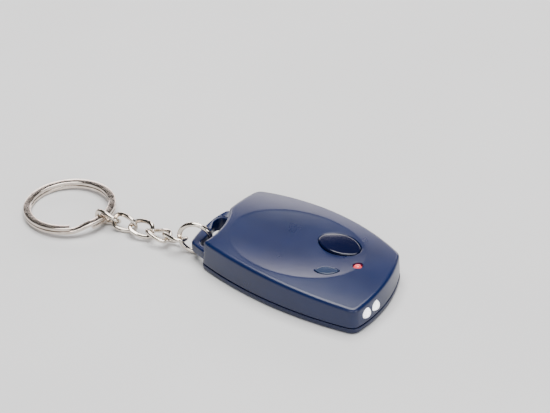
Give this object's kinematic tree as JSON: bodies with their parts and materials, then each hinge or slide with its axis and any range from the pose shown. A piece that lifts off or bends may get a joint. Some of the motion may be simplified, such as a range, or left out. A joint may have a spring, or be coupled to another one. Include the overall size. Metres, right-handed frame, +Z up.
{
  "type": "keychain flashlight",
  "caption": "Flat plastic key fob flashlight with white lights in its nose, push buttons in a dished top, and a twisted-link chain with a split ring.",
  "frame": {"origin": "on the flat underside of the fob, under the middle of the fob's outline", "axes": "+X along the fob to the end with the lights, +Y to the fob's far long side, +Z up through the buttons"},
  "size_m": [0.1064, 0.0458, 0.0099],
  "materials": {
    "case_plastic": "satin blue with a soft sheen",
    "main_button_plastic": "gloss dark navy",
    "small_button_plastic": "gloss blue grey",
    "white_lens": "clear lens, lit white",
    "red_lens": "tinted lens, lit red",
    "chain_chrome": "bright plated",
    "ring_steel": "plated flat wire",
    "screw_steel": "plain",
    "board": "green board",
    "black_plastic": "black",
    "plunger_plastic": "cream",
    "capacitor_body": "tan ceramic",
    "lead_wire": "tinned wire",
    "cell_steel": "stamped can",
    "contact_metal": "spring strip"
  },
  "bodies": {
    "fob": {"base_shell": "case_plastic", "top_shell": "case_plastic", "case_screw_1": "screw_steel", "case_screw_2": "screw_steel", "case_screw_3": "screw_steel", "case_screw_4": "screw_steel", "circuit_board": "board", "main_switch": "black_plastic", "small_switch": "black_plastic", "controller_chip": "black_plastic", "resistor_1": "black_plastic", "resistor_2": "black_plastic", "resistor_3": "black_plastic", "capacitor": "capacitor_body", "red_led": "red_lens", "red_led_anode": "lead_wire", "red_led_cathode": "lead_wire", "white_led_1": "white_lens", "white_led_1_anode": "lead_wire", "white_led_1_cathode": "lead_wire", "white_led_2": "white_lens", "white_led_2_anode": "lead_wire", "white_led_2_cathode": "lead_wire", "coin_cell_lower": "cell_steel", "coin_cell_upper": "cell_steel", "contact_positive": "contact_metal", "contact_negative": "contact_metal"},
    "main_button": {"main_button": "main_button_plastic"},
    "main_plunger": {"main_plunger": "plunger_plastic"},
    "small_button": {"small_button": "small_button_plastic"},
    "small_plunger": {"small_plunger": "plunger_plastic"},
    "jump_ring": {"jump_ring": "chain_chrome"},
    "link_1": {"chain_link_1": "chain_chrome"},
    "link_2": {"chain_link_2": "chain_chrome"},
    "link_3": {"chain_link_3": "chain_chrome"},
    "link_4": {"chain_link_4": "chain_chrome"},
    "link_5": {"chain_link_5": "chain_chrome"},
    "split_ring": {"split_ring": "ring_steel"}
  },
  "joints": [
    {"name": "main_button_press", "type": "slide", "parent": "fob", "child": "main_button", "axis": [0, 0, -1], "range_m": [0, 0.00025], "stiffness_N_per_m": 600, "springref_m": -0.0008},
    {"name": "main_plunger_press", "type": "slide", "parent": "fob", "child": "main_plunger", "axis": [0, 0, -1], "range_m": [0, 0.00025]},
    {"name": "small_button_press", "type": "slide", "parent": "fob", "child": "small_button", "axis": [0, 0, -1], "range_m": [0, 0.00025], "stiffness_N_per_m": 600, "springref_m": -0.0008},
    {"name": "small_plunger_press", "type": "slide", "parent": "fob", "child": "small_plunger", "axis": [0, 0, -1], "range_m": [0, 0.00025]},
    {"name": "jump_ring_swing", "type": "hinge", "parent": "fob", "child": "jump_ring", "pos_m": [-0.02707, -0.0101, 0.0038], "axis": [-0.3907, 0.9205, 0], "range_deg": [-35, 25]},
    {"name": "link_1_turn", "type": "hinge", "parent": "jump_ring", "child": "link_1", "pos_m": [-0.0312, -0.012, 0.0046], "axis": [0, 0, 1], "range_deg": [-12, 12]},
    {"name": "link_2_turn", "type": "hinge", "parent": "link_1", "child": "link_2", "pos_m": [-0.03606, -0.01199, 0.0027], "axis": [0, 0, 1], "range_deg": [-15, 15]},
    {"name": "link_3_swing", "type": "hinge", "parent": "link_2", "child": "link_3", "pos_m": [-0.04128, -0.01254, 0.0027], "axis": [-0.1219, 0.9925, 0], "range_deg": [-20, 20]},
    {"name": "link_4_turn", "type": "hinge", "parent": "link_3", "child": "link_4", "pos_m": [-0.04648, -0.01327, 0.0027], "axis": [0, 0, 1], "range_deg": [-20, 20]},
    {"name": "link_5_turn", "type": "hinge", "parent": "link_4", "child": "link_5", "pos_m": [-0.05167, -0.01409, 0.0027], "axis": [0, 0, 1], "range_deg": [-20, 20]},
    {"name": "split_ring_swing", "type": "hinge", "parent": "link_5", "child": "split_ring", "pos_m": [-0.0555, -0.01493, 0.00255], "axis": [-0.0698, 0.9976, 0], "range_deg": [-20, 20]}
  ],
  "couplings": [
    {"joint": "main_plunger_press", "follows": "main_button_press", "ratio": 1},
    {"joint": "small_plunger_press", "follows": "small_button_press", "ratio": 1}
  ]
}
